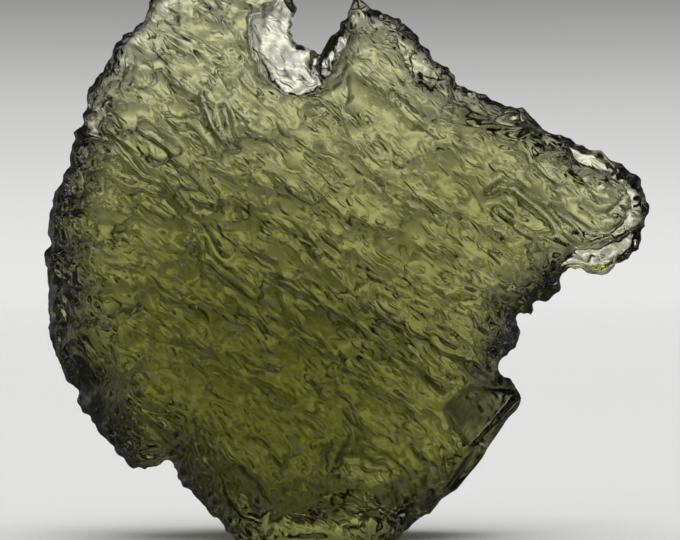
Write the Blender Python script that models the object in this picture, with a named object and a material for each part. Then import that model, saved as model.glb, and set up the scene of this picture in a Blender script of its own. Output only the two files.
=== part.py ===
"""A moldavite: one flattened piece of natural green glass, deeply sculpted by etching.

It stands upright on a small flat spot, with its broad front face towards -Y. Lengths are written
in millimetres and become metres when the mesh is made.
"""

import math

import bmesh
import bpy
import numpy as np
from mathutils import Vector
from mathutils.geometry import delaunay_2d_cdt

MM = 0.001

# Driving dimensions. The outline below is 38.2 wide and 35.7 high.
HEIGHT = 35.7
STONE_CENTRE = (0.5, 17.0)

# The triangles of the two faces, and the first row of points in from the rim.
FACE_SPACING = 0.80
FACE_JITTER = 0.12
FIRST_ROW_INSET = 0.55
FIRST_ROW_CLEARANCE = 0.44
GRID_CLEARANCE = 0.90
# Two rows of points run along the edge of each flat break, this far to either side of it.
BREAK_EDGE_GAP = 0.10
BREAK_EDGE_CLEARANCE = 0.42

# The wall around the rim: its rows of points, how far its corners are tucked in, and how much
# its points waver along the depth.
RIM_SPACING = 0.80
RIM_ROWS = 4
RIM_ROUNDING = 0.25
RIM_WAVER = 0.35
RIM_SHARE_OF_THICKNESS = 0.26
LEAST_RIM_THICKNESS = 0.8

# The slope from the rim's thickness to the full one.
EDGE_SLOPE_WIDTH = 3.2
EDGE_FULLNESS = 0.7
LEAST_THICKNESS = 1.1
CARVING_EASES_OVER = 1.2

# Places where the edge is otherwise: (x, z, reach, width of the slope, rim's share of thickness).
EDGE_ZONES = [
    # It thins slowly at the lower left.
    (-13.0, 9.0, 9.0, 5.2, 0.26),
    # It is broken off square at the lower right.
    (10.4, 5.4, 3.4, 1.2, 0.78),
]

# The oval flat spot that the stone stands on, and how high up its thickness is felt.
FLAT_SPOT_DEPTH = 7.2
FLAT_SPOT_HALF_LENGTH = 6.6
FLAT_SPOT_REACH = 1.6
OVAL_END_SHARE = 0.31

# The mid-surface is a shallow dish, set back so that the stone balances on its flat spot.
DISH = 0.9
DISH_HALF_WIDTH = 22.0
DISH_SET_BACK = 0.32

# The outline seen from the front, clockwise from the left end of the flat spot, as (x, z).
# x is counted from the middle of the flat spot and z from the surface that it stands on.
LEFT_EDGE = [
    (-5.0, 0.0), (-5.7, 0.4), (-6.0, 1.0), (-7.0, 1.6), (-7.2, 2.1), (-7.9, 2.9), (-8.6, 3.1),
    (-8.9, 4.2), (-9.1, 4.8), (-9.5, 4.7), (-10.2, 4.3), (-11.0, 4.2), (-11.8, 4.4), (-12.5, 5.1),
    (-14.7, 7.9), (-15.1, 8.5), (-14.9, 9.3), (-15.7, 9.7), (-16.0, 10.4), (-16.5, 11.5),
    (-16.9, 13.0), (-16.9, 14.8), (-16.8, 15.8), (-17.3, 17.5), (-16.8, 18.4), (-17.0, 19.4),
    (-16.7, 21.3), (-15.7, 23.1), (-15.5, 24.5), (-15.3, 25.5), (-14.8, 25.8), (-14.7, 26.8),
    (-14.3, 28.1), (-12.9, 30.6), (-12.3, 31.6), (-11.5, 32.0), (-10.9, 32.5), (-10.7, 33.3),
]
TOP = [(-10.1, 34.2), (-8.9, 35.0), (-7.2, 35.5), (-5.5, 35.7), (-3.8, 35.6), (-2.4, 35.2), (-1.4, 34.3)]
NOTCH = [
    (-1.2, 33.2), (-1.5, 31.3), (-0.9, 30.8), (-0.3, 30.8), (0.2, 30.3), (0.7, 31.3), (1.3, 31.8),
    (1.8, 32.7), (2.1, 33.5), (2.5, 34.1),
]
SHOULDER = [
    (3.1, 33.5), (4.0, 32.8), (5.2, 32.7), (5.7, 32.0), (6.5, 31.5), (6.8, 30.7), (7.7, 29.8),
    (8.5, 29.4), (9.0, 28.5), (10.4, 27.8), (12.0, 27.2), (13.1, 26.9), (13.9, 26.1), (14.8, 25.5),
    (15.6, 25.3), (16.4, 24.7),
]
LOBE = [
    (17.8, 24.3), (18.8, 23.6), (19.8, 22.9), (20.5, 22.0), (20.9, 20.8), (20.7, 19.5),
    (20.3, 18.6), (20.3, 18.0), (19.2, 17.2), (18.0, 16.4), (17.1, 16.5), (16.1, 16.7),
]
BAY = [
    (15.5, 16.5), (15.3, 15.5), (14.6, 14.8), (13.6, 14.7), (13.7, 13.7), (12.5, 14.0),
    (12.8, 13.0), (12.7, 11.9), (12.1, 11.6), (11.3, 10.6), (11.9, 10.0), (12.5, 9.5),
    (12.4, 9.2), (12.8, 8.7),
]
LOWER_RIGHT = [
    (12.5, 8.0), (11.9, 7.5), (11.4, 6.6), (10.3, 5.1), (8.7, 3.1), (7.7, 2.4), (7.1, 1.5),
    (5.8, 0.8), (5.1, 0.0),
]
OUTLINE = LEFT_EDGE + TOP + NOTCH + SHOULDER + LOBE + BAY + LOWER_RIGHT

# The stone swells from a thin plate towards its lower left: (x, z, spread, added thickness).
PLATE_THICKNESS = 4.8
SWELLINGS = [
    (-9.0, 9.0, 8.0, 5.0),
    (0.5, 4.5, 6.5, 3.5),
    (-1.0, 14.0, 8.5, 2.0),
    (8.8, 7.0, 3.8, 2.2),
    (10.0, 18.0, 5.0, 1.5),
    (-12.5, 19.0, 4.5, 1.0),
    (0.0, 34.0, 6.0, -0.6),
    (-9.0, 30.0, 4.5, -0.6),
]

# Grooves as (half width, depth, path).
FRONT_GROOVES = [
    # The long furrow that crosses the left half, and a shorter one above it.
    (0.8, 0.55, [(-14.8, 25.7), (-13.0, 24.4), (-10.8, 22.7), (-9.2, 20.8), (-7.7, 18.9),
                 (-5.8, 17.2), (-3.9, 15.5)]),
    (0.8, 0.60, [(-10.5, 25.6), (-9.2, 24.4), (-8.0, 23.0), (-6.4, 21.1)]),
    (0.9, 0.45, [(-13.6, 21.5), (-11.6, 19.8), (-9.8, 17.6), (-8.2, 15.2)]),
    # The crack that runs down from the notch.
    (0.8, 1.70, [(1.7, 31.9), (0.9, 29.9), (0.1, 28.4)]),
    # The dark crescent near the foot.
    (1.1, 0.90, [(1.8, 5.1), (3.6, 4.7), (4.9, 3.6), (5.2, 2.4)]),
    # Ribbed furrows that fan out to the lower left edge.
    (0.8, 0.70, [(-9.0, 8.6), (-11.0, 7.0), (-12.8, 5.9)]),
    (0.8, 0.70, [(-10.4, 11.6), (-12.6, 10.4), (-15.0, 8.9)]),
    (0.8, 0.60, [(-6.0, 6.4), (-7.4, 4.6), (-8.8, 3.6)]),
    (0.8, 0.60, [(-11.6, 14.6), (-14.0, 13.8), (-16.8, 13.6)]),
    # The swirl on the right lobe and the furrow at its root.
    (0.8, 0.55, [(14.5, 22.9), (16.3, 21.4), (17.2, 19.7), (17.9, 18.7), (19.4, 18.9), (20.2, 20.1)]),
    (0.8, 0.50, [(11.6, 22.8), (13.4, 20.6), (15.3, 18.6)]),
    # Furrows that run out to the bay.
    (0.7, 0.60, [(8.6, 14.6), (10.6, 14.0), (12.6, 14.2)]),
    (0.7, 0.60, [(8.0, 12.6), (9.8, 11.6), (11.6, 10.8)]),
]
BACK_GROOVES = [
    (1.3, 0.60, [(-13.5, 27.5), (-9.5, 22.0), (-5.5, 17.5), (-1.0, 14.5)]),
    (1.2, 0.55, [(-8.0, 31.0), (-4.5, 26.0), (0.0, 21.5), (5.0, 18.5)]),
    (1.3, 0.60, [(-15.0, 19.0), (-11.0, 14.0), (-7.0, 10.5), (-2.0, 8.5)]),
    (1.1, 0.50, [(3.0, 29.0), (7.5, 25.0), (12.0, 21.5), (17.0, 19.5)]),
    (1.2, 0.60, [(2.5, 15.0), (6.5, 11.5), (10.5, 8.5)]),
]

# Hollows as (x, z, half length, half width, turn in degrees, depth, steepness of the wall).
FRONT_HOLLOWS = [
    # A round pit on the shoulder.
    (6.6, 29.0, 0.9, 0.9, 0.0, 0.80, 1.0),
    # The bowl and the two clear windows of the right lobe.
    (17.8, 21.3, 2.2, 1.9, -30.0, 0.60, 1.0),
    (17.6, 23.4, 2.3, 0.9, -32.0, 1.10, 2.0),
    (18.6, 17.6, 2.0, 0.9, 28.0, 1.00, 2.0),
    # The recess under the crescent.
    (2.0, 2.8, 2.6, 1.8, 0.0, 0.55, 1.2),
]
BACK_HOLLOWS = [
    (-6.0, 26.0, 4.2, 2.6, -42.0, 0.70, 1.0),
    (5.5, 22.5, 4.5, 2.4, -38.0, 0.60, 1.0),
    (-11.0, 15.0, 3.6, 2.2, -50.0, 0.70, 1.0),
    (7.0, 8.0, 3.0, 2.0, -45.0, 0.60, 1.0),
]

# Flat breaks in the front: corners, a point on the plane, the y there, the slopes along x and z, and
# the thickness that is left behind the plane at least.
FRONT_BREAKS = [
    # The dark one near the lower right edge.
    ([(7.6, 8.4), (8.1, 9.6), (13.2, 9.2), (13.0, 7.9), (11.0, 5.2), (9.4, 5.9)],
     (10.2, 8.3), -2.7, (0.75, -0.50), 2.0),
    # The clear chip beside the notch, where the glass is thinnest.
    ([(-2.1, 34.1), (-3.4, 32.7), (-4.2, 32.6), (-4.1, 30.9), (-3.7, 29.8), (-3.4, 28.8), (-2.5, 28.0),
      (-1.1, 27.6), (-0.2, 27.9), (0.1, 29.9), (0.4, 31.5), (0.0, 34.1)],
     (-2.0, 31.0), 0.40, (0.03, -0.02), 1.3),
]

# The etched pits that cover both faces. They are longer along the grain, and deepest near the rim.
GRAIN_DEGREES = -42.0
SCATTER_TRIES = 4000
PIT_SPACING = 1.9
PIT_TURN = 14.0
PIT_HALF_LENGTH = (1.5, 2.6)
PIT_HALF_WIDTH = (0.95, 1.45)
PIT_DEPTH = (0.28, 0.54)
RIM_PIT_GAIN = 1.0
RIM_PIT_REACH = 2.5
FRONT_SEED = 11
BACK_SEED = 23

GLASS_COLOUR = (0.30, 0.33, 0.10, 1.0)
GLASS_ROUGHNESS = 0.08
GLASS_IOR = 1.49
SHARP_ANGLE = 40.0
TOUCHING = 1e-5


def clear_scene():
    for old in list(bpy.data.objects):
        bpy.data.objects.remove(old)


def split_sides(corners, spacing):
    """The closed outline with each side split evenly into parts about as long as spacing."""
    points = []
    for here, there in zip(corners, corners[1:] + corners[:1]):
        parts = max(1, round(math.dist(here, there) / spacing))
        for i in range(parts):
            t = i / parts
            points.append((here[0] + t * (there[0] - here[0]), here[1] + t * (there[1] - here[1])))
    return np.array(points)


def distance_to_path(points, path, closed=False):
    """How far each point lies from a path of straight runs."""
    path = np.asarray(path, float)
    starts = path if closed else path[:-1]
    ends = np.roll(path, -1, axis=0) if closed else path[1:]
    nearest = np.full(len(points), np.inf)
    for start, end in zip(starts, ends):
        run = end - start
        t = np.clip((points - start) @ run / (run @ run), 0, 1)
        gap = points - (start + t[:, None] * run)
        nearest = np.minimum(nearest, np.hypot(gap[:, 0], gap[:, 1]))
    return nearest


def inside(points, outline):
    """True for each point that lies inside the closed outline."""
    x, z = points[:, 0], points[:, 1]
    crossed = np.zeros(len(points), bool)
    for (x0, z0), (x1, z1) in zip(outline, np.roll(outline, -1, axis=0)):
        if z0 == z1:
            continue
        between = (z0 > z) != (z1 > z)
        crossed ^= between & (x < x0 + (z - z0) * (x1 - x0) / (z1 - z0))
    return crossed


def outward_normals(outline):
    """The outward direction at each outline point, evened over its neighbours."""
    along = np.roll(outline, -2, axis=0) - np.roll(outline, 2, axis=0)
    normals = np.stack([-along[:, 1], along[:, 0]], axis=1)
    return normals / np.linalg.norm(normals, axis=1, keepdims=True)


def break_edges(outline):
    """Pairs of points along the edges of the flat breaks, where these lie inside the outline."""
    pairs = []
    for corners, *_ in FRONT_BREAKS:
        edge = split_sides(corners, FACE_SPACING)
        aside = BREAK_EDGE_GAP * outward_normals(edge)
        clear = inside(edge, outline) & (distance_to_path(edge, outline, closed=True) > FIRST_ROW_INSET)
        pairs += [(edge + aside)[clear], (edge - aside)[clear]]
    return np.concatenate(pairs)


def apart(points, others, least):
    """The points that lie at least so far from all the others."""
    gaps = points[:, None, :] - others[None, :, :]
    return points[np.hypot(gaps[..., 0], gaps[..., 1]).min(1) > least]


def face_points(outline):
    """A staggered grid of points inside the outline, with rows along the rim and the flat breaks."""
    low, high = outline.min(0), outline.max(0)
    row_height = FACE_SPACING * math.sqrt(3) / 2
    grid = []
    for row in range(int((high[1] - low[1]) / row_height) + 1):
        z = low[1] + row * row_height
        shift = FACE_SPACING / 2 if row % 2 else 0.0
        for column in range(int((high[0] - low[0]) / FACE_SPACING) + 1):
            grid.append((low[0] + shift + column * FACE_SPACING, z))
    grid = np.array(grid)
    jitter = np.random.default_rng(FRONT_SEED).uniform(-FACE_JITTER, FACE_JITTER, grid.shape)
    grid = grid + jitter * FACE_SPACING
    grid = grid[inside(grid, outline)]
    grid = grid[distance_to_path(grid, outline, closed=True) > GRID_CLEARANCE]
    row = outline - FIRST_ROW_INSET * outward_normals(outline)
    row = row[inside(row, outline)]
    row = row[distance_to_path(row, outline, closed=True) > FIRST_ROW_CLEARANCE]
    edges = break_edges(outline)
    others = apart(np.concatenate([row, grid]), edges, BREAK_EDGE_CLEARANCE)
    return np.concatenate([edges, others])


def turned(points, x, z, degrees):
    """Each point's place along and across an axis through (x, z), turned by so many degrees."""
    a = math.radians(degrees)
    dx, dz = points[:, 0] - x, points[:, 1] - z
    return dx * math.cos(a) + dz * math.sin(a), dz * math.cos(a) - dx * math.sin(a)


def thickness(points):
    """The stone's full thickness away from its rim."""
    total = np.full(len(points), PLATE_THICKNESS)
    for x, z, spread, added in SWELLINGS:
        away = (points[:, 0] - x) ** 2 + (points[:, 1] - z) ** 2
        total += added * np.exp(-away / (2 * spread**2))
    return total


def edge_profile(points):
    """How far in from the rim the full thickness is reached, and the rim's share of it."""
    width = np.full(len(points), EDGE_SLOPE_WIDTH)
    share = np.full(len(points), RIM_SHARE_OF_THICKNESS)
    for x, z, reach, zone_width, zone_share in EDGE_ZONES:
        away = np.hypot(points[:, 0] - x, points[:, 1] - z)
        weight = np.exp(-((away / reach) ** 2))
        width += (zone_width - EDGE_SLOPE_WIDTH) * weight
        share += (zone_share - RIM_SHARE_OF_THICKNESS) * weight
    return width, share


def rim_thickness(points):
    """The thickness of the wall at the rim: a share of the whole, and more at the oval flat spot."""
    wall = edge_profile(points)[1] * thickness(points)
    near_foot = np.exp(-((points[:, 1] / FLAT_SPOT_REACH) ** 2))
    oval = np.sqrt(np.maximum(1 - (points[:, 0] / FLAT_SPOT_HALF_LENGTH) ** 2, OVAL_END_SHARE**2))
    return wall + (np.maximum(wall, FLAT_SPOT_DEPTH * oval) - wall) * near_foot


def middle(points):
    """The y of the mid-surface."""
    up_and_down = np.sin(math.pi * points[:, 1] / HEIGHT)
    across = np.cos(math.pi / 2 * points[:, 0] / DISH_HALF_WIDTH)
    return DISH * up_and_down * across - DISH_SET_BACK


def grain_at(points, from_rim):
    """The direction of the grain in degrees: one slant inside, turning to point out at the rim."""
    outward = np.degrees(np.arctan2(points[:, 1] - STONE_CENTRE[1], points[:, 0] - STONE_CENTRE[0]))
    turn = (outward - GRAIN_DEGREES + 90.0) % 180.0 - 90.0
    share = np.exp(-from_rim / RIM_PIT_REACH)
    return GRAIN_DEGREES + share * turn


def scatter(outline, seed):
    """Random points inside the outline that keep their distance from each other."""
    chance = np.random.default_rng(seed)
    low, high = outline.min(0), outline.max(0)
    tries = chance.uniform(low, high, (SCATTER_TRIES, 2))
    tries = tries[inside(tries, outline)]
    kept = np.empty((0, 2))
    for point in tries:
        if len(kept) == 0 or np.hypot(*(kept - point).T).min() > PIT_SPACING:
            kept = np.vstack([kept, point])
    return kept, chance


def pits(points, outline, seed):
    """How deep the etched pits go at each point. Where two meet, the deeper one rules."""
    centres, chance = scatter(outline, seed)
    from_rim = distance_to_path(centres, outline, closed=True)
    grain = grain_at(centres, from_rim)
    depth = np.zeros(len(points))
    for (x, z), rim, degrees in zip(centres, from_rim, grain):
        length, width = chance.uniform(*PIT_HALF_LENGTH), chance.uniform(*PIT_HALF_WIDTH)
        deepest = chance.uniform(*PIT_DEPTH) * (1 + RIM_PIT_GAIN * math.exp(-rim / RIM_PIT_REACH))
        along, across = turned(points, x, z, degrees + chance.uniform(-PIT_TURN, PIT_TURN))
        depth = np.maximum(depth, deepest * (1 - (along / length) ** 2 - (across / width) ** 2))
    return depth


def grooves(points, paths):
    depth = np.zeros(len(points))
    for half_width, deepest, path in paths:
        away = distance_to_path(points, path) / half_width
        depth = np.maximum(depth, deepest * (1 - away**2))
    return depth


def hollows(points, shapes):
    depth = np.zeros(len(points))
    for x, z, length, width, degrees, deepest, steepness in shapes:
        along, across = turned(points, x, z, degrees)
        left = 1 - (along / length) ** 2 - (across / width) ** 2
        depth = np.maximum(depth, deepest * np.clip(left * steepness, 0, 1))
    return depth


def cut_breaks(points, front, back):
    """The front and the back after the flat breaks. The back moves only where too little is left."""
    for corners, place, depth, slopes, least in FRONT_BREAKS:
        plane = depth + (points - place) @ slopes
        broken = inside(points, np.array(corners))
        front = np.where(broken, np.maximum(front, plane), front)
        back = np.where(broken, np.maximum(back, plane + least), back)
    return front, back


def faces_of_stone(points, outline):
    """The y of the front and of the back face at each point inside the outline."""
    from_rim = distance_to_path(points, outline, closed=True)
    inward = np.clip(from_rim / edge_profile(points)[0], 0, 1)
    rounding = (1 - (1 - inward) ** 2) ** EDGE_FULLNESS
    wall = rim_thickness(points)
    half = (wall + (thickness(points) - wall) * rounding) / 2
    eased = np.clip(from_rim / CARVING_EASES_OVER, 0, 1)
    front_cut = np.maximum(pits(points, outline, FRONT_SEED), grooves(points, FRONT_GROOVES))
    front_cut = np.maximum(front_cut, hollows(points, FRONT_HOLLOWS))
    back_cut = np.maximum(pits(points, outline, BACK_SEED), grooves(points, BACK_GROOVES))
    back_cut = np.maximum(back_cut, hollows(points, BACK_HOLLOWS))
    front = middle(points) - half + eased * front_cut
    back = middle(points) + half - eased * back_cut
    front, back = cut_breaks(points, front, back)
    return np.minimum(front, back - LEAST_THICKNESS), back


def triangulate(rim, inner):
    """Triangles over the rim's points and the inner ones, in that order, turned to face -Y."""
    flat = [Vector(p) for p in np.concatenate([rim, inner])]
    sides = [(i, (i + 1) % len(rim)) for i in range(len(rim))]
    places, _, found, source, _, _ = delaunay_2d_cdt(flat, sides, [], 0, TOUCHING, True)
    middles = np.array([sum((places[i] for i in corners), Vector((0, 0))) / 3 for corners in found])
    triangles = []
    for corners, is_inside in zip(found, inside(middles, rim)):
        if is_inside:
            a, b, c = (places[i] for i in corners)
            ids = [source[i][0] for i in corners]
            triangles.append(ids if (b - a).cross(c - a) > 0 else ids[::-1])
    return triangles


def stone_mesh():
    outline = split_sides(OUTLINE, RIM_SPACING)
    inner = face_points(outline)
    on_foot = outline[:, 1] < TOUCHING
    tucked = outline - RIM_ROUNDING * outward_normals(outline) * ~on_foot[:, None]
    tucked[:, 1] = np.maximum(tucked[:, 1], 0)
    triangles = triangulate(tucked, inner)
    front, back = faces_of_stone(inner, outline)
    wall, centre = rim_thickness(outline), middle(outline)
    rim_front, rim_back = cut_breaks(outline, centre - wall / 2, centre + wall / 2)
    rim_front = np.minimum(rim_front, rim_back - LEAST_RIM_THICKNESS)

    shape = bmesh.new()

    def add(x, y, z):
        return shape.verts.new((x * MM, y * MM, z * MM))

    waver = np.random.default_rng(BACK_SEED).uniform(-RIM_WAVER, RIM_WAVER, (RIM_ROWS, len(outline)))
    rows = []
    for row in range(RIM_ROWS):
        t = 2 * row / (RIM_ROWS - 1) - 1
        ring = tucked + (outline - tucked) * (1 - t * t)
        depths = rim_front + (rim_back - rim_front) * (1 + t) / 2
        depths = depths + waver[row] * ~on_foot * (1 - abs(t) / 2)
        rows.append([add(x, y, z) for (x, z), y in zip(ring, depths)])
    front_verts = rows[0] + [add(x, y, z) for (x, z), y in zip(inner, front)]
    back_verts = rows[-1] + [add(x, y, z) for (x, z), y in zip(inner, back)]
    for a, b, c in triangles:
        shape.faces.new((front_verts[a], front_verts[b], front_verts[c]))
        shape.faces.new((back_verts[c], back_verts[b], back_verts[a]))
    for near, far in zip(rows, rows[1:]):
        for i in range(len(near)):
            j = (i + 1) % len(near)
            shape.faces.new((near[i], near[j], far[j], far[i]))
    bmesh.ops.triangulate(shape, faces=shape.faces[:])
    bmesh.ops.recalc_face_normals(shape, faces=shape.faces[:])
    mesh = bpy.data.meshes.new("moldavite")
    shape.to_mesh(mesh)
    shape.free()
    return mesh


def centre_on_foot(mesh):
    """Moves the mesh so that the middle of its box, at its lowest point, is at the origin."""
    places = np.array([v.co for v in mesh.vertices])
    low, high = places.min(0), places.max(0)
    shift = Vector((-(low[0] + high[0]) / 2, -(low[1] + high[1]) / 2, -low[2]))
    for vertex in mesh.vertices:
        vertex.co += shift


def glass():
    material = bpy.data.materials.new("moldavite glass")
    material.use_nodes = True
    shader = material.node_tree.nodes["Principled BSDF"]
    shader.inputs["Base Color"].default_value = GLASS_COLOUR
    shader.inputs["Metallic"].default_value = 0.0
    shader.inputs["Roughness"].default_value = GLASS_ROUGHNESS
    shader.inputs["IOR"].default_value = GLASS_IOR
    shader.inputs["Transmission Weight"].default_value = 1.0
    return material


def main():
    clear_scene()
    mesh = stone_mesh()
    centre_on_foot(mesh)
    mesh.materials.append(glass())
    mesh.shade_smooth()
    mesh.set_sharp_from_angle(angle=math.radians(SHARP_ANGLE))
    stone = bpy.data.objects.new("moldavite", mesh)
    bpy.context.scene.collection.objects.link(stone)


main()
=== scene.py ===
"""How the moldavite looks: its fine etched sculpture, its clear green glass and a plain studio."""

import math

import bmesh
import bpy
import numpy as np
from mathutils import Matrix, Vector, noise
from mathutils.kdtree import KDTree


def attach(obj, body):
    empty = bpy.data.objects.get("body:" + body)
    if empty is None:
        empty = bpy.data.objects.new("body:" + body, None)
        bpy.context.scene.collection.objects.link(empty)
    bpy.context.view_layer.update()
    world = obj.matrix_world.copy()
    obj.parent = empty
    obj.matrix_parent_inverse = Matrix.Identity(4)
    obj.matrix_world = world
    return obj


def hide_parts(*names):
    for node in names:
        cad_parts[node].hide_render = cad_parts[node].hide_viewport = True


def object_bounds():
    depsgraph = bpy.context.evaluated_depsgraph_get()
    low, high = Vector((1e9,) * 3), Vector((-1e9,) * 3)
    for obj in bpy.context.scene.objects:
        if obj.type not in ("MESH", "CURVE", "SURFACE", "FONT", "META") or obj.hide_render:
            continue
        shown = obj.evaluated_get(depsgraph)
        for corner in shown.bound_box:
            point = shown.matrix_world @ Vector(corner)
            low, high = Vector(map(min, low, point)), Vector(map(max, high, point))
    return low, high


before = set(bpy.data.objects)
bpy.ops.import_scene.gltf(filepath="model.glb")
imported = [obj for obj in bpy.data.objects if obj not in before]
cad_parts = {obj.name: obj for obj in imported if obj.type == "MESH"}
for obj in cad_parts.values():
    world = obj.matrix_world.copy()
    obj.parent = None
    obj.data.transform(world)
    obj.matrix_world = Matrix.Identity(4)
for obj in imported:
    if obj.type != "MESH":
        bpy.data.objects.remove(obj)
cad_low, cad_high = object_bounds()

MM = 0.001

# The stone's drawing counts x from the middle of its flat spot. Its model counts x from the middle
# of its box, this much further right.
BOX_MIDDLE_X = 1.80
STONE_CENTRE = (0.5, 17.0)

# The fine mesh: its cell, and how its facets are softened.
VOXEL = 0.186
SOFTENING = 0.5
SOFTENING_STEPS = 18
MERGE_DISTANCE = 1e-6
# The softening leaves this share of the outline's corners as they are, up to so far from the rim.
OUTLINE_KEPT = 0.85
OUTLINE_REACH = 1.2
# Points whose normal leans less than this to the front or back are the rim.
RIM_LEAN = 0.35
# The rim is moved outward by this much before the pits are carved into it.
RIM_ALLOWANCE = 0.16
# The relief starts at the first height and is whole from the second. Points below the third are
# laid flat on the ground.
FOOT_LOW = 0.1
FOOT_HEIGHT = 0.5
FLAT_BELOW = 0.12

# The picture shows this width at the stone, in mm, and its middle is at this x and height.
PICTURE_WIDTH = 42.77
PICTURE_MIDDLE = (1.447, 16.73)
LENS = 150.0
SENSOR = 36.0
CLIP_NEAR = 0.001
CLIP_FAR = 20.0

# Etched pits in layers from coarse to fine. Each has its least distance apart, the ranges of its
# pits' half length and half width, the steepness of their walls in the smooth middle and at the
# rugged rim, the share of places in the smooth middle that have a pit, and its seed.
PIT_LAYERS = [
    (1.30, (1.2, 2.8), (0.60, 1.10), (0.16, 0.34), 0.50, 1),
    (0.75, (0.6, 1.4), (0.26, 0.40), (1.00, 0.75), 0.16, 2),
    (0.45, (0.3, 0.8), (0.20, 0.30), (1.20, 0.75), 0.16, 3),
]
# The pits on the back are shallower by this share, so the front's show clearly through the glass.
BACK_SHARE = 0.65
# How far the pits turn away from the grain, and the range of their depth around the usual.
PIT_TURN = 0.18
PIT_DEPTH_RANGE = (0.55, 1.35)
# A pit's bowl fades out past its edge, down to this level, and stays off faces turned away from it.
PIT_LIP = -0.2
PIT_FACING = 0.2
# How often each point is evened out with its neighbours after the carving, which rounds the crests.
ROUNDING_STEPS = 1
GRAIN_DEGREES = -42.0
# How rugged the rim is and how far in that is felt, and the uneven patches of the rest.
RIM_RUGGED = 0.85
RIM_REACH = 1.8
PATCH_SIZE = 3.0
PATCH_STRENGTH = 0.55
# Places that are more rugged than the rest, or smoother, as (x, z, reach, how much).
ROUGH_AREAS = [
    (5.2, 29.3, 3.6, 0.45),
    (-5.6, 26.0, 2.4, 0.60),
    (-13.5, 22.5, 4.0, 0.55),
    (10.3, 13.2, 3.0, 0.45),
    (0.0, 3.0, 5.0, 0.55),
    (15.5, 21.5, 4.0, 0.50),
    (6.5, 6.0, 3.4, 0.50),
    (-11.5, 8.0, 4.5, 0.45),
    (-3.6, 21.1, 3.2, -0.30),
    (7.1, 24.0, 3.0, -0.25),
    (-1.0, 14.0, 3.0, -0.20),
    (9.8, 8.1, 2.2, -0.90),
]
# Flat breaks in the front: corners as (x, z), a point on the plane, the y there, the slopes along x
# and z, how far the plane waves, and the share of the pits' depth that is left in it. Behind a clear
# one the back is cut flat too, at the last y.
FLAT_BREAKS = [
    # The clear chip beside the notch.
    ([(-2.1, 34.1), (-3.4, 32.7), (-4.2, 32.6), (-4.1, 30.9), (-3.7, 29.8), (-3.4, 28.8),
      (-2.5, 28.0), (-1.1, 27.6), (-0.2, 27.9), (0.1, 29.9), (0.4, 31.5), (0.0, 34.1)],
     (-2.0, 31.0), 0.10, (0.16, -0.04), 0.20, 1.00, 1.78),
    # The dark one near the lower right edge.
    ([(7.6, 8.4), (8.1, 9.6), (13.2, 9.2), (13.0, 7.9), (11.0, 5.2), (9.4, 5.9)],
     (10.2, 8.3), -2.20, (1.00, -0.55), 0.05, 0.15, None),
    # The lit strip along the edge below it.
    ([(12.2, 8.6), (13.2, 9.2), (13.0, 7.9), (8.7, 2.8), (7.9, 3.2), (10.2, 6.4)],
     (11.0, 7.0), -2.20, (0.45, -0.30), 0.05, 0.40, None),
    # Two dark ones at the lower left.
    ([(-16.3, 13.0), (-15.2, 13.7), (-13.7, 12.6), (-12.9, 10.3), (-13.3, 7.9), (-14.6, 7.6),
      (-15.7, 9.5), (-16.2, 11.4)],
     (-14.6, 10.6), -2.80, (-0.80, -0.35), 0.10, 0.45, None),
    ([(-6.0, 4.3), (-4.8, 4.9), (-3.5, 3.7), (-2.6, 2.0), (-3.5, 1.1), (-4.7, 1.5), (-5.6, 2.8)],
     (-4.4, 2.8), -4.10, (-0.60, -0.60), 0.10, 0.35, None),
    # The black one at the foot.
    ([(3.3, 4.5), (5.5, 4.2), (6.0, 2.3), (4.9, 1.5), (3.6, 2.3)],
     (4.7, 3.2), -4.10, (0.50, -0.90), 0.05, 0.30, None),
    # Two clear windows in the lobe: at its upper edge and along its lower one.
    ([(15.6, 24.6), (16.7, 24.5), (18.0, 23.8), (18.6, 22.9), (17.7, 22.8), (16.8, 23.2),
      (15.9, 23.8)],
     (17.0, 23.7), -0.70, (0.0, 0.0), 0.20, 0.60, 0.90),
    ([(15.2, 17.3), (16.2, 18.1), (17.8, 18.2), (20.2, 19.4), (20.7, 18.6), (19.4, 16.8),
      (18.0, 16.1), (15.2, 16.4)],
     (18.0, 17.2), -0.80, (0.0, 0.0), 0.25, 1.00, 0.90),
]
# A smooth broken edge at the lower right: its two ends, how far in it reaches, and the share of the
# pits' depth that is left there.
SMOOTH_EDGE = ((7.4, 2.2), (12.8, 8.6))
SMOOTH_EDGE_REACH = 0.9
PITS_LEFT_AT_SMOOTH_EDGE = 0.2

# Pits too small for the mesh, as (cells per mm, depth, shift of the pattern), how much of its cell a
# pit fills, how much longer than wide it is, and how far and how finely the pattern is bent.
TINY_PITS = [(1.3, 0.18, 0.0), (2.8, 0.13, 7.3)]
PIT_REACH = 0.6
TINY_PIT_LENGTH = 2.2
TINY_PIT_BEND = 0.9
TINY_PIT_BENDS = 1.1
# This share of the cells has no pit.
EMPTY_CELLS = 0.50
# This share of their depth is left at the very rim.
TINY_PITS_AT_RIM = 0.60
TINY_PITS_LEFT = "tiny pits left"

# The glass: clear, and coloured by how far the light runs through it. The density is per metre.
GLASS_IOR = 1.49
GLASS_ROUGHNESS = 0.10
ABSORPTION_COLOUR = (0.46, 0.475, 0.0, 1.0)
ABSORPTION_DENSITY = 350.0

# The floor, in metres: a pale disc that fades out from the first distance to the second.
FLOOR_RADIUS = 1.6
FLOOR_SIDES = 96
FLOOR_FADE = (0.25, 1.5)
FLOOR_COLOUR = (0.80, 0.80, 0.79, 1.0)
FLOOR_ROUGHNESS = 0.9
FLOOR_SHINE = 0.1

# The lamp: where it is and where it aims, in metres, its side and its power.
LAMP_PLACE = (-0.9, -0.9, 0.9)
LAMP_AIM = (0.0, 0.0, 0.015)
LAMP_SIZE = 0.4
LAMP_POWER = 0.9

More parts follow.
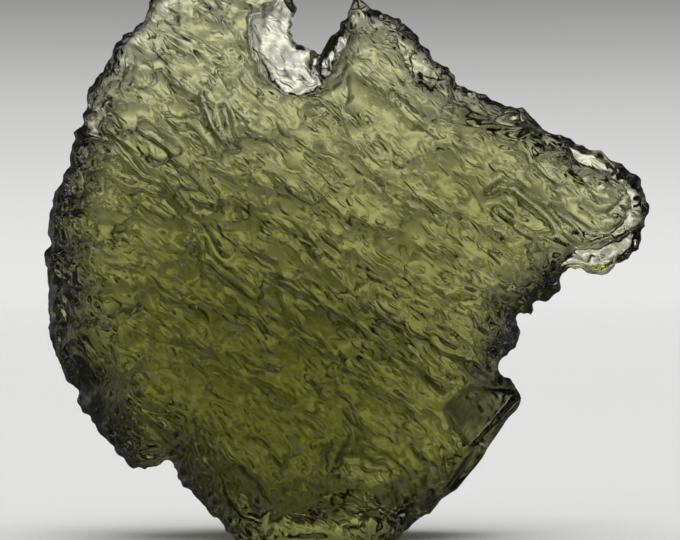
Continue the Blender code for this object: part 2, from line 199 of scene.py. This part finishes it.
# Brightness of the room by the height of the direction, from -1 straight down to 1 straight up.
ROOM_LIGHT = [
    (-1.0, 1.0), (-0.80, 0.80), (-0.66, 0.18), (-0.30, 0.28), (-0.15, 0.41), (-0.08, 0.55),
    (-0.04, 0.72), (0.0, 0.84), (0.05, 0.68), (0.10, 0.51), (0.20, 0.35), (0.35, 0.24),
    (0.50, 0.20), (0.80, 0.24), (0.88, 2.6), (1.0, 2.8),
]
# The room's share that comes through the glass, and the share that the glass mirrors, by how far the
# light comes from the side: 0 is straight behind or in front, and 1 is from the left or right.
SIDE_SHARES = [
    (0.0, 1.58), (0.10, 1.58), (0.30, 0.95), (0.50, 0.38), (0.70, 0.42), (0.90, 1.7), (1.0, 2.2),
]
REFLECTED_SHARES = [(0.0, 0.18), (0.50, 0.18), (0.75, 0.55), (1.0, 0.8)]
# The backdrop as the camera sees it: pale at and below the horizon, and grey above.
BACKDROP = [
    (-0.1, 0.80), (0.0, 0.80), (0.007, 0.79), (0.025, 0.735), (0.042, 0.655), (0.059, 0.57),
    (0.077, 0.43), (0.095, 0.30), (0.2, 0.2),
]
# All the light is this much weaker in blue, which makes it a little warm.
WARMTH = 0.99

# Fine furrows on the front as (half width, depth, path). They are carved this many times as deep and
# as wide, on faces whose normal leans at least so far to the front.
FURROW_SHARE = 1.5
FURROW_WIDTH = 1.35
FRONT_LEAN = 0.2
FURROWS = [
    # The long one that crosses the left half, in broken pieces side by side.
    (0.32, 0.45, [(-14.0, 25.5), (-12.6, 24.6), (-11.5, 23.8), (-11.1, 23.2)]),
    (0.36, 0.55, [(-12.3, 24.2), (-11.4, 23.2), (-10.6, 22.6), (-9.6, 22.3), (-8.9, 21.5),
                  (-8.2, 20.6)]),
    (0.28, 0.45, [(-11.2, 22.1), (-10.5, 21.9), (-9.9, 21.6)]),
    (0.26, 0.40, [(-10.8, 21.2), (-9.9, 20.6), (-9.0, 20.1)]),
    (0.24, 0.35, [(-12.8, 22.8), (-11.9, 22.2), (-11.3, 21.9)]),
    (0.30, 0.50, [(-7.1, 18.5), (-6.8, 17.5)]),
    (0.32, 0.50, [(-6.6, 17.6), (-5.6, 16.8), (-4.5, 15.9), (-3.7, 15.3)]),
    # The two dark gashes above it, and the thin line that runs on from them.
    (0.34, 0.60, [(-10.8, 25.7), (-10.0, 25.2), (-9.5, 24.8)]),
    (0.34, 0.60, [(-9.2, 24.6), (-8.8, 24.1)]),
    (0.22, 0.30, [(-8.6, 23.7), (-7.6, 22.7), (-6.8, 21.8), (-6.2, 21.2)]),
    # Lines that fan out below the chip.
    (0.24, 0.45, [(-7.2, 27.6), (-6.6, 26.2), (-5.9, 25.0), (-5.3, 24.2)]),
    (0.22, 0.40, [(-5.9, 26.8), (-5.5, 25.4), (-4.9, 24.3)]),
    (0.24, 0.50, [(-4.7, 28.9), (-4.1, 28.1), (-3.4, 27.5)]),
    (0.22, 0.35, [(-8.0, 26.2), (-6.9, 24.9), (-6.1, 23.9)]),
    # The crack that runs down from the notch.
    (0.30, 0.60, [(1.5, 31.3), (1.0, 30.3), (0.5, 29.2), (-0.1, 28.2)]),
    # The dark crescent near the foot.
    (0.30, 0.45, [(1.8, 5.1), (3.0, 4.9), (4.3, 4.2), (5.0, 3.2), (5.4, 1.9)]),
    # Beside the lobe, and its swirl.
    (0.30, 0.45, [(11.2, 20.4), (12.3, 19.6), (13.6, 18.9), (14.9, 18.7)]),
    (0.26, 0.50, [(10.7, 21.6), (11.5, 22.1), (12.4, 21.9), (13.4, 20.9), (14.3, 20.0), (15.1, 19.0),
                  (15.8, 18.1)]),
    (0.26, 0.50, [(14.6, 20.6), (15.4, 20.1), (16.1, 19.6), (17.0, 19.0), (18.4, 18.9), (19.3, 19.6),
                  (19.7, 20.4)]),
    (0.34, 0.60, [(18.6, 23.0), (19.4, 22.4), (20.0, 21.4), (20.2, 20.4)]),
    (0.26, 0.45, [(13.4, 23.9), (14.4, 22.9), (15.2, 22.2)]),
    (0.22, 0.35, [(16.4, 20.9), (17.3, 20.1), (18.3, 20.2), (19.0, 20.9)]),
    (0.30, 0.55, [(16.2, 23.4), (17.0, 22.6), (17.8, 22.0)]),
]


def smooth_step(value, low, high):
    """0 below low, 1 above high, and a smooth rise in between."""
    t = np.clip((value - low) / (high - low), 0, 1)
    return t * t * (3 - 2 * t)


def fine_copy(node, name):
    """A finely and evenly meshed copy of a node, with its facets softened."""
    mesh = node.data.copy()
    shape = bmesh.new()
    shape.from_mesh(mesh)
    bmesh.ops.remove_doubles(shape, verts=shape.verts[:], dist=MERGE_DISTANCE)
    shape.to_mesh(mesh)
    shape.free()
    copy = bpy.data.objects.new(name, mesh)
    bpy.context.scene.collection.objects.link(copy)
    remesh = copy.modifiers.new("fine even mesh", "REMESH")
    remesh.mode = "VOXEL"
    remesh.voxel_size = VOXEL * MM
    graph = bpy.context.evaluated_depsgraph_get()
    sharp = read_points(bpy.data.meshes.new_from_object(copy.evaluated_get(graph)))
    soften = copy.modifiers.new("softened facets", "SMOOTH")
    soften.factor = SOFTENING
    soften.iterations = SOFTENING_STEPS
    graph = bpy.context.evaluated_depsgraph_get()
    fine = bpy.data.meshes.new_from_object(copy.evaluated_get(graph))
    copy.modifiers.clear()
    copy.data = fine

    points, normals = read_points(fine), read_normals(fine)
    from_rim = distances_from_rim(points, normals)
    kept = OUTLINE_KEPT * np.clip(1 - from_rim / OUTLINE_REACH, 0, 1)
    write_points(fine, points + kept[:, None] * (sharp - points) * (1, 0, 1))
    return copy


def read_points(mesh):
    """The mesh's points in millimetres."""
    values = np.empty(len(mesh.vertices) * 3, np.float32)
    mesh.vertices.foreach_get("co", values)
    return values.reshape(-1, 3).astype(float) / MM


def write_points(mesh, points):
    """Moves the mesh's points, given in millimetres."""
    mesh.vertices.foreach_set("co", (points * MM).astype(np.float32).ravel())
    mesh.update()


def read_normals(mesh):
    """The outward direction at each point."""
    values = np.empty(len(mesh.vertices) * 3, np.float32)
    mesh.vertex_normals.foreach_get("vector", values)
    return values.reshape(-1, 3).astype(float)


def tree_of(points):
    """A search tree of the points."""
    tree = KDTree(len(points))
    for i, point in enumerate(points):
        tree.insert(point, i)
    tree.balance()
    return tree


def distances_from_rim(points, normals):
    """How far each point lies inside the stone's outline, measured on the drawing's plane."""
    flattened = points * (1, 0, 1)
    rim = tree_of(flattened[np.abs(normals[:, 1]) < RIM_LEAN])
    return np.array([rim.find(point)[2] for point in flattened])


def relief(points, from_rim):
    """How rugged each place is, from 0 in the smooth middle to 1 at the rim."""
    x, z = points[:, 0] + BOX_MIDDLE_X, points[:, 2]
    rugged = RIM_RUGGED * np.exp(-from_rim / RIM_REACH)
    for middle_x, middle_z, reach, much in ROUGH_AREAS:
        rugged += much * np.exp(-((x - middle_x) ** 2 + (z - middle_z) ** 2) / reach**2)
    patches = np.array([noise.noise(Vector(point) / PATCH_SIZE) for point in points])
    return np.clip(rugged + PATCH_STRENGTH * patches, 0, 1)


def inside(points, corners):
    """True for each point that lies inside the corners, seen from the front."""
    x, z = points[:, 0] + BOX_MIDDLE_X, points[:, 2]
    crossed = np.zeros(len(points), bool)
    for (x0, z0), (x1, z1) in zip(corners, corners[1:] + corners[:1]):
        if z0 != z1:
            crossed ^= ((z0 > z) != (z1 > z)) & (x < x0 + (z - z0) * (x1 - x0) / (z1 - z0))
    return crossed


def grain_directions(points, normals, from_rim):
    """The direction of the grain: one slant inside, turning out at the rim and running over it."""
    x, z = points[:, 0] + BOX_MIDDLE_X, points[:, 2]
    outward = np.degrees(np.arctan2(z - STONE_CENTRE[1], x - STONE_CENTRE[0]))
    turn = (outward - GRAIN_DEGREES + 90.0) % 180.0 - 90.0
    angle = np.radians(GRAIN_DEGREES + np.exp(-from_rim / RIM_REACH) * turn)
    flat = np.abs(normals[:, 1])
    over = np.sqrt(np.clip(1 - flat**2, 0, 1))
    return np.stack([flat * np.cos(angle), over, flat * np.sin(angle)], axis=1)


def pits(points, normals, tree, rugged, grain, layer):
    """How deep one layer of pits goes at each point. Where pits meet, the deeper one rules."""
    spacing, lengths, widths, steepness, cover, seed = layer
    chance = np.random.default_rng(seed)
    depth = np.zeros(len(points))
    taken = np.zeros(len(points), bool)
    for centre in chance.permutation(len(points)):
        if taken[centre]:
            continue
        length, width = chance.uniform(*lengths), chance.uniform(*widths)
        found = tree.find_range(points[centre], max(length, spacing))
        near = np.array([index for _, index, _ in found])
        offsets = points[near] - points[centre]
        taken[near[np.einsum("ij,ij->i", offsets, offsets) < spacing**2]] = True
        if chance.random() > cover + (1 - cover) * rugged[centre]:
            continue
        normal = normals[centre]
        facing = normals[near] @ normal > PIT_FACING
        near, offsets = near[facing], offsets[facing]
        along = grain[centre] + chance.normal(0, PIT_TURN, 3)
        along -= normal * (along @ normal)
        along /= np.linalg.norm(along)
        across = np.cross(normal, along)
        steep = steepness[0] + (steepness[1] - steepness[0]) * rugged[centre]
        deepest = 0.5 * width * steep * chance.uniform(*PIT_DEPTH_RANGE)
        bowl = 1 - (offsets @ along / length) ** 2 - (offsets @ across / width) ** 2
        depth[near] = np.maximum(depth[near], deepest * smooth_step(bowl, PIT_LIP, 1.0))
    return depth


def distance_to_run(places, start, end):
    """How far each place lies from a straight run."""
    run = end - start
    t = np.clip((places - start) @ run / (run @ run), 0, 1)
    gap = places - (start + t[:, None] * run)
    return np.hypot(gap[:, 0], gap[:, 1])


def furrows(points, normals):
    """How deep the furrows on the front go at each point."""
    drawn = np.stack([points[:, 0] + BOX_MIDDLE_X, points[:, 2]], axis=1)
    depth = np.zeros(len(points))
    for half_width, deepest, path in FURROWS:
        nearest = np.full(len(points), np.inf)
        for start, end in zip(np.array(path[:-1]), np.array(path[1:])):
            nearest = np.minimum(nearest, distance_to_run(drawn, start, end))
        half_width *= FURROW_WIDTH
        profile = smooth_step(half_width - nearest, 0, half_width)
        depth = np.maximum(depth, FURROW_SHARE * deepest * profile)
    return depth * (normals[:, 1] < -FRONT_LEAN)


def rounded(mesh, points):
    """The points evened out with their neighbours, which rounds the crests between the pits."""
    edges = np.empty(len(mesh.edges) * 2, np.int32)
    mesh.edges.foreach_get("vertices", edges)
    first, second = edges.reshape(-1, 2).T
    neighbours = np.bincount(edges, minlength=len(points))
    for _ in range(ROUNDING_STEPS):
        total = np.zeros_like(points)
        np.add.at(total, first, points[second])
        np.add.at(total, second, points[first])
        points = (points + total / neighbours[:, None]) / 2
    return points


def etch(stone):
    """Carves the etched sculpture into the fine mesh, always inward, and keeps the foot flat."""
    mesh = stone.data
    points, normals = read_points(mesh), read_normals(mesh)
    tree = tree_of(points)
    from_rim = distances_from_rim(points, normals)
    outward = RIM_ALLOWANCE * np.exp(-from_rim / OUTLINE_REACH)
    rugged, grain = relief(points, from_rim), grain_directions(points, normals, from_rim)
    depth = np.zeros(len(points))
    for layer in PIT_LAYERS:
        depth += pits(points, normals, tree, rugged, grain, layer)
    face_share = 1 - (1 - BACK_SHARE) * np.clip(normals[:, 1], 0, 1)
    depth = depth * face_share + furrows(points, normals)
    x, z = points[:, 0] + BOX_MIDDLE_X, points[:, 2]
    waves = np.array([noise.noise(Vector(point)) for point in points])
    front_y, back_y = np.full(len(points), -np.inf), np.full(len(points), np.inf)
    pits_left = np.ones(len(points))
    for corners, place, plane_y, slopes, waviness, share_left, behind in FLAT_BREAKS:
        within = inside(points, corners)
        broken = within & (normals[:, 1] < 0)
        plane = plane_y + slopes[0] * (x - place[0]) + slopes[1] * (z - place[1]) + waviness * waves
        front_y = np.where(broken, plane, front_y)
        if behind is not None:
            back_y = np.where(within & ~broken, behind + waviness * waves, back_y)
            broken = within
        pits_left = np.where(broken, share_left, pits_left)
    low_end, high_end = np.array(SMOOTH_EDGE)
    from_edge = distance_to_run(np.stack([x, z], axis=1), low_end, high_end)
    pits_left *= 1 - (1 - PITS_LEFT_AT_SMOOTH_EDGE) * np.exp(-((from_edge / SMOOTH_EDGE_REACH) ** 2))
    depth *= pits_left
    depth = (depth - outward) * smooth_step(points[:, 2], FOOT_LOW, FOOT_HEIGHT)
    etched = points - normals * np.minimum(depth, 0)[:, None]
    etched[:, 1] = np.clip(etched[:, 1], front_y, back_y)
    etched = rounded(mesh, etched - normals * np.maximum(depth, 0)[:, None])
    etched = np.clip(etched, np.array(cad_low) / MM, np.array(cad_high) / MM)
    etched[points[:, 2] < FLAT_BELOW, 2] = 0.0
    write_points(mesh, etched)
    mesh.shade_smooth()
    left = (1 - (1 - TINY_PITS_AT_RIM) * np.exp(-from_rim / RIM_REACH)) * pits_left * face_share
    mesh.attributes.new(TINY_PITS_LEFT, "FLOAT", "POINT").data.foreach_set(
        "value", left.astype(np.float32)
    )


def tiny_pits(nodes, links, place, per_mm, depth, shift):
    """Heights, in mm, of pits too small for the mesh. Each has a depth of its own, down to none."""
    moved = nodes.new("ShaderNodeVectorMath")
    moved.operation = "ADD"
    moved.inputs[1].default_value = (shift, 0.0, 0.0)
    links.new(place, moved.inputs[0])
    cells = nodes.new("ShaderNodeTexVoronoi")
    cells.inputs["Scale"].default_value = per_mm
    links.new(moved.outputs["Vector"], cells.inputs["Vector"])
    bowl = nodes.new("ShaderNodeMath")
    bowl.operation = "MULTIPLY"
    links.new(cells.outputs["Distance"], bowl.inputs[0])
    links.new(cells.outputs["Distance"], bowl.inputs[1])
    profile = nodes.new("ShaderNodeMapRange")
    profile.interpolation_type = "SMOOTHSTEP"
    profile.inputs["From Max"].default_value = PIT_REACH**2
    profile.inputs["To Min"].default_value = -depth
    profile.inputs["To Max"].default_value = 0.0
    links.new(bowl.outputs["Value"], profile.inputs["Value"])
    own = nodes.new("ShaderNodeSeparateColor")
    links.new(cells.outputs["Color"], own.inputs["Color"])
    share = nodes.new("ShaderNodeMapRange")
    share.inputs["From Min"].default_value = EMPTY_CELLS
    links.new(own.outputs["Red"], share.inputs["Value"])
    uneven = nodes.new("ShaderNodeMath")
    uneven.operation = "MULTIPLY"
    links.new(profile.outputs["Result"], uneven.inputs[0])
    links.new(share.outputs["Result"], uneven.inputs[1])
    return uneven.outputs["Value"]


def glass_material():
    """Clear olive-green glass. Its colour comes from how far the light runs through it."""
    material = bpy.data.materials.new("moldavite glass")
    material.use_nodes = True
    nodes, links = material.node_tree.nodes, material.node_tree.links
    shader = nodes["Principled BSDF"]
    shader.inputs["Base Color"].default_value = (1.0, 1.0, 1.0, 1.0)
    shader.inputs["Transmission Weight"].default_value = 1.0
    shader.inputs["IOR"].default_value = GLASS_IOR
    shader.inputs["Roughness"].default_value = GLASS_ROUGHNESS
    absorb = nodes.new("ShaderNodeVolumeAbsorption")
    absorb.inputs["Color"].default_value = ABSORPTION_COLOUR
    absorb.inputs["Density"].default_value = ABSORPTION_DENSITY
    links.new(absorb.outputs["Volume"], nodes["Material Output"].inputs["Volume"])

    place = nodes.new("ShaderNodeTexCoord")
    along_grain = nodes.new("ShaderNodeMapping")
    along_grain.vector_type = "TEXTURE"
    along_grain.inputs["Rotation"].default_value = (0.0, math.radians(-GRAIN_DEGREES), 0.0)
    along_grain.inputs["Scale"].default_value = (TINY_PIT_LENGTH * MM, MM, MM)
    links.new(place.outputs["Object"], along_grain.inputs["Vector"])
    wander = nodes.new("ShaderNodeTexNoise")
    wander.inputs["Scale"].default_value = TINY_PIT_BENDS
    wander.inputs["Detail"].default_value = 1.0
    links.new(along_grain.outputs["Vector"], wander.inputs["Vector"])
    bent = nodes.new("ShaderNodeVectorMath")
    bent.operation = "MULTIPLY_ADD"
    bent.inputs[1].default_value = (TINY_PIT_BEND, TINY_PIT_BEND, TINY_PIT_BEND)
    links.new(wander.outputs["Color"], bent.inputs[0])
    links.new(along_grain.outputs["Vector"], bent.inputs[2])
    heights = [
        tiny_pits(nodes, links, bent.outputs["Vector"], per_mm, depth, shift)
        for per_mm, depth, shift in TINY_PITS
    ]
    total = nodes.new("ShaderNodeMath")
    total.operation = "ADD"
    links.new(heights[0], total.inputs[0])
    links.new(heights[1], total.inputs[1])
    share_left = nodes.new("ShaderNodeAttribute")
    share_left.attribute_name = TINY_PITS_LEFT
    eased = nodes.new("ShaderNodeMath")
    eased.operation = "MULTIPLY"
    links.new(total.outputs["Value"], eased.inputs[0])
    links.new(share_left.outputs["Fac"], eased.inputs[1])
    bump = nodes.new("ShaderNodeBump")
    bump.inputs["Distance"].default_value = MM
    links.new(eased.outputs["Value"], bump.inputs["Height"])
    links.new(bump.outputs["Normal"], shader.inputs["Normal"])
    return material


def floor():
    """A pale round floor that fades into the backdrop. The glass neither shows nor mirrors it."""
    shape = bmesh.new()
    bmesh.ops.create_circle(shape, cap_ends=True, segments=FLOOR_SIDES, radius=FLOOR_RADIUS)
    mesh = bpy.data.meshes.new("floor")
    shape.to_mesh(mesh)
    shape.free()
    disc = bpy.data.objects.new("floor", mesh)
    bpy.context.scene.collection.objects.link(disc)
    material = bpy.data.materials.new("pale floor")
    material.use_nodes = True
    nodes, links = material.node_tree.nodes, material.node_tree.links
    shader = nodes["Principled BSDF"]
    shader.inputs["Base Color"].default_value = FLOOR_COLOUR
    shader.inputs["Roughness"].default_value = FLOOR_ROUGHNESS
    shader.inputs["Specular IOR Level"].default_value = FLOOR_SHINE
    place = nodes.new("ShaderNodeTexCoord")
    away = nodes.new("ShaderNodeVectorMath")
    away.operation = "LENGTH"
    links.new(place.outputs["Object"], away.inputs[0])
    fade = nodes.new("ShaderNodeMapRange")
    fade.inputs["From Min"].default_value = FLOOR_FADE[0]
    fade.inputs["From Max"].default_value = FLOOR_FADE[1]
    fade.inputs["To Min"].default_value = 1.0
    fade.inputs["To Max"].default_value = 0.0
    links.new(away.outputs["Value"], fade.inputs["Value"])
    links.new(fade.outputs["Result"], shader.inputs["Alpha"])
    mesh.materials.append(material)
    disc.visible_glossy = False
    disc.visible_transmission = False


def level_ramp(nodes, links, value, steps):
    """A brightness that follows one part of a direction, in steps of (value, level)."""
    stretch = nodes.new("ShaderNodeMapRange")
    stretch.inputs["From Min"].default_value = steps[0][0]
    stretch.inputs["From Max"].default_value = steps[-1][0]
    links.new(value, stretch.inputs["Value"])
    ramp = nodes.new("ShaderNodeValToRGB")
    links.new(stretch.outputs["Result"], ramp.inputs["Fac"])
    low, high = steps[0][0], steps[-1][0]
    elements = ramp.color_ramp.elements
    for position, _ in steps[1:-1]:
        elements.new((position - low) / (high - low))
    for element, (_, level) in zip(elements, steps):
        element.color = (level, level, level * WARMTH, 1.0)
    return ramp.outputs["Color"]


def pick(nodes, links, which, when_not, when_so):
    """One of two values, each a number or another node's output, by a switch of 0 or 1."""
    chosen = nodes.new("ShaderNodeMix")
    links.new(which, chosen.inputs["Factor"])
    for value, socket in ((when_not, chosen.inputs["A"]), (when_so, chosen.inputs["B"])):
        if isinstance(value, float):
            socket.default_value = value
        else:
            links.new(value, socket)
    return chosen.outputs["Result"]


def studio_light():
    """The room's light and its backdrop.

    The camera sees the backdrop. The floor is lit by the whole room light. Light that goes through the
    glass or is mirrored by it is a share of that.
    """
    world = bpy.data.worlds.new("studio")
    bpy.context.scene.world = world
    world.use_nodes = True
    nodes, links = world.node_tree.nodes, world.node_tree.links
    place = nodes.new("ShaderNodeTexCoord")
    split = nodes.new("ShaderNodeSeparateXYZ")
    links.new(place.outputs["Generated"], split.inputs["Vector"])
    path = nodes.new("ShaderNodeLightPath")
    sideways = nodes.new("ShaderNodeMath")
    sideways.operation = "ABSOLUTE"
    links.new(split.outputs["X"], sideways.inputs[0])
    share = level_ramp(nodes, links, sideways.outputs["Value"], SIDE_SHARES)
    through = pick(nodes, links, path.outputs["Is Transmission Ray"], 1.0, share)
    mirrored = level_ramp(nodes, links, sideways.outputs["Value"], REFLECTED_SHARES)
    level = pick(nodes, links, path.outputs["Is Reflection Ray"], through, mirrored)
    level = pick(nodes, links, path.outputs["Is Diffuse Ray"], level, 1.0)

    background = nodes["Background"]
    links.new(level_ramp(nodes, links, split.outputs["Z"], ROOM_LIGHT), background.inputs["Color"])
    links.new(level, background.inputs["Strength"])
    backdrop = nodes.new("ShaderNodeBackground")
    links.new(level_ramp(nodes, links, split.outputs["Z"], BACKDROP), backdrop.inputs["Color"])
    mix = nodes.new("ShaderNodeMixShader")
    links.new(path.outputs["Is Camera Ray"], mix.inputs["Fac"])
    links.new(background.outputs["Background"], mix.inputs[1])
    links.new(backdrop.outputs["Background"], mix.inputs[2])
    links.new(mix.outputs["Shader"], nodes["World Output"].inputs["Surface"])


def soft_light():
    """A square area light in front at the left, high up."""
    light = bpy.data.lights.new("front left", "AREA")
    light.shape = "SQUARE"
    light.size = LAMP_SIZE
    light.energy = LAMP_POWER
    lamp = bpy.data.objects.new("front left", light)
    lamp.location = LAMP_PLACE
    lamp.rotation_euler = (Vector(LAMP_AIM) - Vector(LAMP_PLACE)).to_track_quat("-Z", "Y").to_euler()
    bpy.context.scene.collection.objects.link(lamp)


def camera():
    """A level camera in front of the stone, as far away as the picture's width asks."""
    data = bpy.data.cameras.new("camera")
    data.lens = LENS
    data.sensor_width = SENSOR
    data.clip_start = CLIP_NEAR
    data.clip_end = CLIP_FAR
    eye = bpy.data.objects.new("camera", data)
    away = PICTURE_WIDTH * LENS / SENSOR
    eye.location = ((PICTURE_MIDDLE[0] - BOX_MIDDLE_X) * MM, -away * MM, PICTURE_MIDDLE[1] * MM)
    eye.rotation_euler = (math.radians(90), 0, 0)
    bpy.context.scene.collection.objects.link(eye)
    bpy.context.scene.camera = eye


camera()
studio_light()
soft_light()
floor()

stone = fine_copy(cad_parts["moldavite"], "etched_moldavite")
etch(stone)
stone.data.materials.clear()
stone.data.materials.append(glass_material())
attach(stone, "root")
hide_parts("moldavite")

bpy.context.scene.view_settings.view_transform = "Standard"
